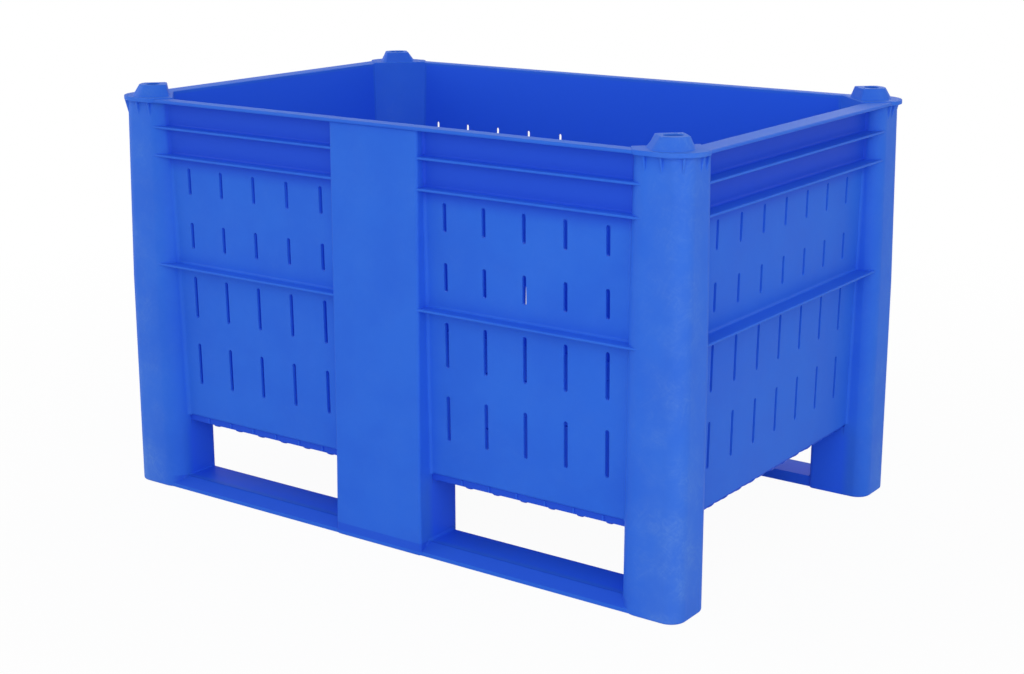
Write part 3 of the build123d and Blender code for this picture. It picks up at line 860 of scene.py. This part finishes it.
def add_column(bm, run_at, back_at, levels):
    """Hollow post standing on a closed leg, as one shell; the runs are given for a height and a shrink."""
    inner_foot = add_points(bm, at_height(run_at(0.0, POST_WALL) + back_at(POST_WALL), 0.0))
    foot_loops = []
    for step in range(FOOT_STEPS + 1):
        turn = pi / 2 * step / FOOT_STEPS
        shrink = FOOT_ROUND * (1 - sin(turn))
        z = FOOT_ROUND * (1 - cos(turn))
        foot_loops.append(add_points(bm, at_height(run_at(z, shrink) + back_at(shrink), z)))
    outer_top = add_points(bm, at_height(run_at(TUB_SEAT, 0.0) + back_at(0.0), TUB_SEAT))
    inner_top = add_points(bm, at_height(run_at(TUB_SEAT, POST_WALL) + back_at(POST_WALL), TUB_SEAT))
    add_skin(bm, [inner_top, inner_foot] + foot_loops + [outer_top], True)
    run = len(run_at(0.0, 0.0))
    behind = list(range(run - 1, len(outer_top))) + [0]
    add_skin(bm, [[outer_top[i] for i in behind], [inner_top[i] for i in behind]], False)
    outer_loops = [outer_top[:run]]
    inner_loops = [inner_top[:run]]
    for z in levels:
        outer_loops.append(add_points(bm, at_height(run_at(z, 0.0), z)))
        inner_loops.append(add_points(bm, at_height(run_at(z, POST_WALL), z)))
    add_skin(bm, outer_loops, False)
    add_skin(bm, inner_loops, False)
    add_skin(bm, [outer_loops[-1], inner_loops[-1]], False)
    for i in (0, run - 1):
        add_skin(bm, [[loop[i] for loop in outer_loops], [loop[i] for loop in inner_loops]], False)


def add_fins(bm):
    """Tapered fins between the post and the underside of the cap."""
    top_x = FOOT_X - CORNER_LEAN
    top_y = FOOT_Y - CORNER_LEAN
    turn = radians(FIN_TURN)
    spots = [(POST_X - back, top_y, radians(90)) for back in SIDE_FINS]
    spots.append((top_x - OUTER_RADIUS * (1 - cos(turn)), top_y - OUTER_RADIUS * (1 - sin(turn)), turn))
    spots += [(top_x, POST_Y - back, 0.0) for back in END_FINS]
    drop = FIN_HEIGHT * (FIN_REACH + FIN_ROOT) / FIN_REACH
    for x, y, angle in spots:
        out = Vector((cos(angle), sin(angle), 0))
        across = Vector((-out.y, out.x, 0)) * FIN_THICKNESS / 2
        foot = Vector((x, y, RIM_SEAT))
        root = foot - out * FIN_ROOT
        blade = [root, foot + out * FIN_REACH, root - Vector((0, 0, drop))]
        add_loft(bm, [[point - across for point in blade], [point + across for point in blade]])


def make_corner_post():
    """Corner post with its leg and fins, for the +X +Y corner."""
    bm = bmesh.new()
    add_column(bm, corner_path, corner_back, POST_LEVELS)
    add_fins(bm)
    return bm


def centre_path(z, shrink):
    """Outer run of a centre post at a height, from the wall round the front face and back."""
    half = CENTRE_HALF + CENTRE_FLARE * max(1 - z / TUB_SEAT, 0.0) - shrink
    front = centre_face(z) - shrink
    start_y = wall_y(max(z, TUB_SEAT)) - EMBED
    radius = CENTRE_EDGE_RADIUS
    path = [(-half, start_y)] + arc(radius - half, front - radius, radius, 180, 90, 5)
    return path + arc(half - radius, front - radius, radius, 90, 0, 5) + [(half, start_y)]


def centre_back(shrink):
    """Back run of a centre leg."""
    half = CENTRE_HALF - shrink
    back = CENTRE_BACK + shrink
    radius = CENTRE_EDGE_RADIUS
    right = arc(half - radius, back + radius, radius, 0, -90, 4)
    return right + arc(radius - half, back + radius, radius, 270, 180, 4)


def make_centre_post():
    """Centre post with its leg and the web between its two cells, on the +Y side."""
    bm = bmesh.new()
    add_column(bm, centre_path, centre_back, [RIM_SEAT])
    web = WEB_THICKNESS / 2
    add_block(bm, (-web, CENTRE_BACK + LAP, LAP), (web, CENTRE_FRONT - 3 * LAP, TUB_SEAT - LAP))
    upper = []
    for z, face in ((TUB_SEAT - 2 * LAP, CENTRE_FRONT - CENTRE_LEAN), (RIM_SEAT - LAP, POST_Y)):
        back = wall_y(z) - LAP
        front = face - 2 * LAP
        upper.append(at_height([(-web, back), (web, back), (web, front), (-web, front)], z))
    add_loft(bm, upper)
    return bm


# Rim

def make_long_rail():
    """Rail on the +Y long wall."""
    bm = bmesh.new()
    reach = CAP_START_X + EMBED
    add_block(bm, (-reach, RAIL_INNER_Y, RIM_SEAT), (reach, RAIL_Y, RIM_HEIGHT))
    return bm


def make_end_rail():
    """Rail on the +X end wall."""
    bm = bmesh.new()
    reach = CAP_START_Y + EMBED
    add_block(bm, (RAIL_INNER_X, -reach, RIM_SEAT), (RAIL_X, reach, RIM_HEIGHT))
    return bm


def on_stud(forward, sideways):
    """Plan point on a stud, which faces outwards across the corner."""
    u = forward / sqrt(2)
    v = sideways / sqrt(2)
    return STUD_X + u - v, STUD_Y + u + v


def stud_ring(z, outline, shift):
    """Outline of a stud at a height, shifted along its back: flat back, straight flanks, bowed front."""
    half_width, back, front = outline
    bow = front - STUD_FLANK
    radius = (half_width ** 2 + bow ** 2) / (2 * bow)
    bow_middle = front - radius
    ring = []
    for i in range(STUD_STEPS):
        turn = 2 * pi * i / STUD_STEPS
        along = cos(turn)
        across = sin(turn)
        to_front = bow_middle * along + sqrt(radius ** 2 - (bow_middle * across) ** 2)
        reach = min(to_front, back / max(-along, 1e-9), half_width / max(abs(across), 1e-9))
        ring.append(on_stud(reach * along, reach * across + shift))
    return at_height(ring, z)


def hole_ring(z):
    """Outline of the oval hole in a stud."""
    circle = arc(0.0, 0.0, 0.5, 0, 360, STUD_STEPS)[:-1]
    ring = [on_stud(STUD_HOLE_WIDTH * u, STUD_HEAD_SHIFT + STUD_HOLE_LENGTH * v) for u, v in circle]
    return at_height(ring, z)


def make_cap():
    """Corner cap for the +X +Y corner: plate with a hollow stacking stud."""
    bm = bmesh.new()
    outline = [(CAP_START_X, RAIL_Y), (CAP_START_X + CAP_TAPER, CAP_CORNER_Y)]
    outline += arc(CAP_CORNER_X - CAP_RADIUS, CAP_CORNER_Y - CAP_RADIUS, CAP_RADIUS, 90, 0, 16)
    outline += [(CAP_CORNER_X, CAP_START_Y + CAP_TAPER), (RAIL_X, CAP_START_Y),
                (RAIL_INNER_X, CAP_LINE - RAIL_INNER_X), (CAP_LINE - RAIL_INNER_Y, RAIL_INNER_Y)]
    add_loft(bm, [at_height(outline, RIM_SEAT), at_height(outline, CAP_TOP)])
    rings = [
        stud_ring(CAP_TOP - LAP, STUD_FOOT_INSIDE, 0.0),
        stud_ring(STUD_TOP - STUD_WALL, STUD_HEAD_INSIDE, STUD_HEAD_SHIFT),
        hole_ring(STUD_TOP - STUD_WALL),
        hole_ring(STUD_TOP),
        stud_ring(STUD_TOP, STUD_HEAD, STUD_HEAD_SHIFT),
        stud_ring(CAP_TOP - LAP, STUD_FOOT, 0.0),
    ]
    loops = [add_points(bm, ring) for ring in rings]
    add_skin(bm, loops + loops[:1], True)
    return bm


def make_corner_panel():
    """Upright panel across the inside of the +X +Y corner."""
    bm = bmesh.new()
    back_line = PANEL_LINE + PANEL_THICKNESS * sqrt(2)
    rings = []
    for z in (FLOOR_HEIGHT - 2 * LAP, CAP_TOP - LAP / 2):
        inner_x = wall_x(z) - WALL_THICKNESS + LAP
        inner_y = wall_y(z) - WALL_THICKNESS + LAP
        rings.append(at_height([(inner_x, PANEL_LINE - inner_x), (inner_x, back_line - inner_x),
                                (back_line - inner_y, inner_y), (PANEL_LINE - inner_y, inner_y)], z))
    add_loft(bm, rings)
    return bm


# Floor and skids

def ledge_section(deck_edge, face, low):
    """Section of the ledge under a wall, as distance from the middle of the box and height."""
    back = face - LEDGE_DEPTH
    top = DECK_UNDER + LAP
    return [(deck_edge, top), (deck_edge, LEDGE_TOP), (face, LEDGE_TOP), (face, low), (back, low),
            (back, top)]


def lobed_edge(y):
    """Lower edge of the ledge under an end wall: a shallow lobe under each long floor rib."""
    first, pitch = LONG_RIBS[:2]
    half = pitch / 2
    away = ((abs(y) - first + half) % pitch - half) / half
    return LEDGE_NOTCH - LEDGE_LOBE * (1 - away ** 2)


def add_floor_ribs(bm):
    """Crossing ribs under the deck: rows across the box, and one row turned to run along it."""
    rib_tree = floor_rib_layout()
    depth = DECK_UNDER + LAP - FLOOR_RIB_LOW
    lift = Matrix.Translation((0, 0, (FLOOR_RIB_LOW + depth / 2) * MM))
    for row, turn in ((BAY_RIBS, 0.0), (LEG_RIBS, 0.0), (OUTER_RIBS, 0.0), (LONG_RIBS, pi / 2)):
        first, pitch, count, length = row
        ribs = mesh_from_layout(rib_tree, {
            "Length": length, "Depth": depth, "Thickness": FLOOR_RIB_THICKNESS,
            "End Radius": RIB_END_RADIUS, "First": first, "Pitch": pitch, "Count": count})
        ribs.transform(lift @ Matrix.Rotation(turn, 4, "Z"))
        bm.from_mesh(ribs)


def add_ledge(bm, side):
    """Ledge under one long wall, with a small tab at each bay rib, and under one end wall."""
    long_section = ledge_section(DECK_Y, LEDGE_Y, LEDGE_LOW)
    add_loft(bm, [[(x, side * y, z) for y, z in long_section] for x in (-DECK_X, DECK_X)])
    places = [DECK_Y * (2 * i / LEDGE_STEPS - 1) for i in range(LEDGE_STEPS + 1)]
    add_loft(bm, [[(side * x, y, z) for x, z in ledge_section(DECK_X, LEDGE_X, lobed_edge(y))]
                  for y in places])
    first, pitch, count = BAY_RIBS[:3]
    low_y, high_y = sorted((side * (LEDGE_Y - LAP), side * (LEDGE_Y + TAB_REACH)))
    for i in range(count):
        for end in (1, -1):
            x = end * (first + pitch * i)
            add_block(bm, (x - TAB_HALF_WIDTH, low_y, LEDGE_LOW + LAP),
                      (x + TAB_HALF_WIDTH, high_y, LEDGE_TOP - LAP / 2))


def make_floor():
    """Floor: slotted plate, crossing ribs with rounded ends, and the ledge under the walls."""
    bm = bmesh.new()
    bm.from_mesh(mesh_from_layout(slotted_deck_layout(), {
        "Length": 2 * DECK_X, "Width": 2 * DECK_Y, "Thickness": FLOOR_HEIGHT - DECK_UNDER,
        "Slot Length": FLOOR_SLOT_LENGTH, "Slot Width": SLOT_WIDTH, "Pitch X": FLOOR_SLOT_PITCH_X,
        "Pitch Y": FLOOR_SLOT_PITCH_Y, "Columns": FLOOR_SLOT_COLUMNS, "Rows": FLOOR_SLOT_ROWS}))
    bmesh.ops.translate(bm, verts=bm.verts, vec=(0, 0, DECK_UNDER * MM))
    add_floor_ribs(bm)
    for side in (-1, 1):
        add_ledge(bm, side)
    return bm


def skid_end(y):
    """Where a skid runs into the corner leg, a little inside the leg's wall."""
    rise = max(y - (FOOT_Y - SIDE_RADIUS), 0.0)
    return LEG_SIDE + SIDE_RADIUS - sqrt(SIDE_RADIUS ** 2 - rise ** 2) + POST_WALL / 2


def add_skid_coves(bm):
    """Coves between the top of a skid and the legs at its ends."""
    line = [(SKID_BACK + LAP / 2, SKID_TOP), (SKID_FRONT - SKID_RAMP, SKID_TOP),
            (SKID_FRONT - SKID_COVE_STOP, SKID_TOP - SKID_COVE_DROP)]
    # Down here the centre leg has about nine tenths of its flare
    at_centre_leg = [CENTRE_HALF + 0.9 * CENTRE_FLARE for y, z in line]
    at_corner_leg = [skid_end(y) - POST_WALL / 2 for y, z in line]
    for ends, along in ((at_centre_leg, 1), (at_corner_leg, -1)):
        rings = []
        for x, (y, z) in zip(ends, line):
            ring = [(x - along * 2 * LAP, y, z - 2 * LAP)]
            ring += [(x + along * (SKID_COVE - u), y, z + SKID_COVE - v)
                     for u, v in arc(0.0, 0.0, SKID_COVE, 90, 0, COVE_STEPS)]
            rings.append(ring)
        add_loft(bm, rings)


def make_skid():
    """Skid for the +X +Y quarter: ramped bar, open underneath, with cross walls between its pockets."""
    bm = bmesh.new()
    steps = [i / SKID_RAMP_STEPS for i in range(SKID_RAMP_STEPS + 1)]
    ramp = [(SKID_FRONT - SKID_RAMP * step, SKID_LIP + (SKID_TOP - SKID_LIP) * step) for step in steps]
    pocket_back = SKID_BACK + SKID_WALL
    pocket_front = SKID_FRONT - SKID_RAMP - SKID_WALL
    pocket_top = SKID_TOP - SKID_WALL
    section = [(SKID_FRONT, SKID_LOW)] + ramp + [(SKID_BACK, SKID_TOP), (SKID_BACK, SKID_LOW)]
    section += [(pocket_back, SKID_LOW), (pocket_back, pocket_top), (pocket_front, pocket_top),
                (pocket_front, SKID_LOW)]
    section += [(y, SKID_LOW) for y, z in ramp[-2:0:-1]]
    start = CENTRE_HALF - POST_WALL / 2
    add_loft(bm, [[(start, y, z) for y, z in section], [(skid_end(y), y, z) for y, z in section]])
    add_skid_coves(bm)
    pitch = (LEG_SIDE - CENTRE_HALF) / SKID_POCKETS
    for i in range(1, SKID_POCKETS):
        x = CENTRE_HALF + pitch * i
        add_block(bm, (x - SKID_WALL / 2, SKID_BACK + LAP, SKID_LOW + LAP / 2),
                  (x + SKID_WALL / 2, pocket_front + LAP, pocket_top + LAP))
    return bm


# Camera, light and floor of the studio

def make_camera():
    """Camera that sees the front long side and the right end, slightly from above."""
    data = bpy.data.cameras.new("camera")
    data.sensor_fit = "HORIZONTAL"
    data.sensor_width = 36.0
    data.lens = CAMERA_LENS
    camera = bpy.data.objects.new("camera", data)
    camera.location = CAMERA_PLACE
    camera.rotation_euler = (radians(90 - CAMERA_DIP), 0.0, radians(CAMERA_TURN))
    bpy.context.scene.collection.objects.link(camera)
    bpy.context.scene.camera = camera


def background_rays(tree):
    """Output that is 1 for the rays that see the background as such: camera, gloss and clear things."""
    rays = tree.nodes.new("ShaderNodeLightPath").outputs
    seen = math_of(tree, "MAXIMUM", rays["Is Camera Ray"], rays["Is Glossy Ray"])
    return math_of(tree, "MAXIMUM", seen, rays["Is Transmission Ray"])


def make_world():
    """Surroundings that look white and give an even, lower light."""
    world = bpy.data.worlds.new("studio")
    world.use_nodes = True
    tree = world.node_tree
    strength = sum_of(tree, product_of(tree, background_rays(tree), 1.0 - WORLD_LEVEL), WORLD_LEVEL)
    background = tree.nodes["Background"]
    background.inputs["Color"].default_value = WHITE
    tree.links.new(strength, background.inputs["Strength"])
    bpy.context.scene.world = world


def studio_floor_material():
    """Matt grey under white that thins out near the box, where the shadow shows."""
    material = bpy.data.materials.new("studio_floor")
    material.use_nodes = True
    tree = material.node_tree
    tree.nodes.remove(tree.nodes["Principled BSDF"])
    matt = node_out(tree, "ShaderNodeBsdfDiffuse", Color=STUDIO_GREY)
    white = node_out(tree, "ShaderNodeEmission", Color=WHITE, Strength=1.0)
    place = tree.nodes.new("ShaderNodeTexCoord").outputs["Object"]
    distance = add_node(tree, "ShaderNodeVectorMath", {"operation": "LENGTH"},
                        Vector=place).outputs["Value"]
    whiteness = node_out(tree, "ShaderNodeMapRange", Value=distance, From_Min=STUDIO_FADE[0],
                         From_Max=STUDIO_FADE[1], To_Min=STUDIO_WHITENESS, To_Max=1.0)
    share = product_of(tree, background_rays(tree), whiteness)
    mixed = tree.nodes.new("ShaderNodeMixShader")
    for socket, output in zip(mixed.inputs, (share, matt, white)):
        tree.links.new(output, socket)
    tree.links.new(mixed.outputs[0], tree.nodes["Material Output"].inputs["Surface"])
    return material


def make_studio_floor():
    """Pale floor that looks white and keeps a soft shadow of the box."""
    half = STUDIO_HALF
    mesh = bpy.data.meshes.new("studio_floor")
    corners = [(-half, -half, 0), (half, -half, 0), (half, half, 0), (-half, half, 0)]
    mesh.from_pydata(corners, [], [(0, 1, 2, 3)])
    mesh.materials.append(studio_floor_material())
    floor = bpy.data.objects.new("studio_floor", mesh)
    bpy.context.scene.collection.objects.link(floor)


def make_lamps():
    """Large soft lamps, all turned to the middle of the box."""
    for name, (place, size, watts) in LAMPS.items():
        data = bpy.data.lights.new(name, "AREA")
        data.shape = "SQUARE"
        data.size = size
        data.energy = watts
        lamp = bpy.data.objects.new(name, data)
        lamp.location = place
        lamp.rotation_euler = (Vector(LAMP_AIM) - Vector(place)).to_track_quat("-Z", "Y").to_euler()
        bpy.context.scene.collection.objects.link(lamp)


def make_box():
    """All the pieces of the box, each standing for its CAD nodes."""
    panel_tree = vented_panel_layout()
    for side, signs in LONG_SIDES.items():
        finish_piece(make_long_wall(panel_tree), signs, f"{side}_wall_skin", [f"{side}_wall"], PANEL_EDGE)
        column_nodes = [f"{side}_centre_post", f"{side}_centre_leg"]
        finish_piece(make_centre_post(), signs, f"{side}_centre_column", column_nodes, POST_EDGE)
        finish_piece(make_long_rail(), signs, f"{side}_rail", [f"{side}_rim"], RAIL_EDGE, RAIL_EDGE_STEPS)
    for end, signs in END_SIDES.items():
        wall_nodes = [f"{end}_end_wall"]
        finish_piece(make_end_wall(panel_tree), signs, f"{end}_end_wall_skin", wall_nodes, PANEL_EDGE)
        finish_piece(make_end_rail(), signs, f"{end}_rail", [f"{end}_rim"], RAIL_EDGE, RAIL_EDGE_STEPS)
    corner_pieces = (
        (make_corner_post, "corner_column", ("corner_post", "leg"), POST_EDGE),
        (make_cap, "cap", ("corner_cap",), CAP_EDGE),
        (make_corner_panel, "inner_panel", ("corner_panel",), PANEL_EDGE),
        (make_skid, "skid_bar", ("skid",), SKID_EDGE),
    )
    for corner, signs in CORNERS.items():
        for make, piece_name, node_names, edge_radius in corner_pieces:
            nodes = [f"{corner}_{node}" for node in node_names]
            finish_piece(make(), signs, f"{corner}_{piece_name}", nodes, edge_radius)
    finish_piece(make_floor(), (1, 1), "floor", ["floor_deck"], PANEL_EDGE)


make_box()
make_camera()
make_world()
make_studio_floor()
make_lamps()
bpy.context.scene.view_settings.view_transform = "Standard"
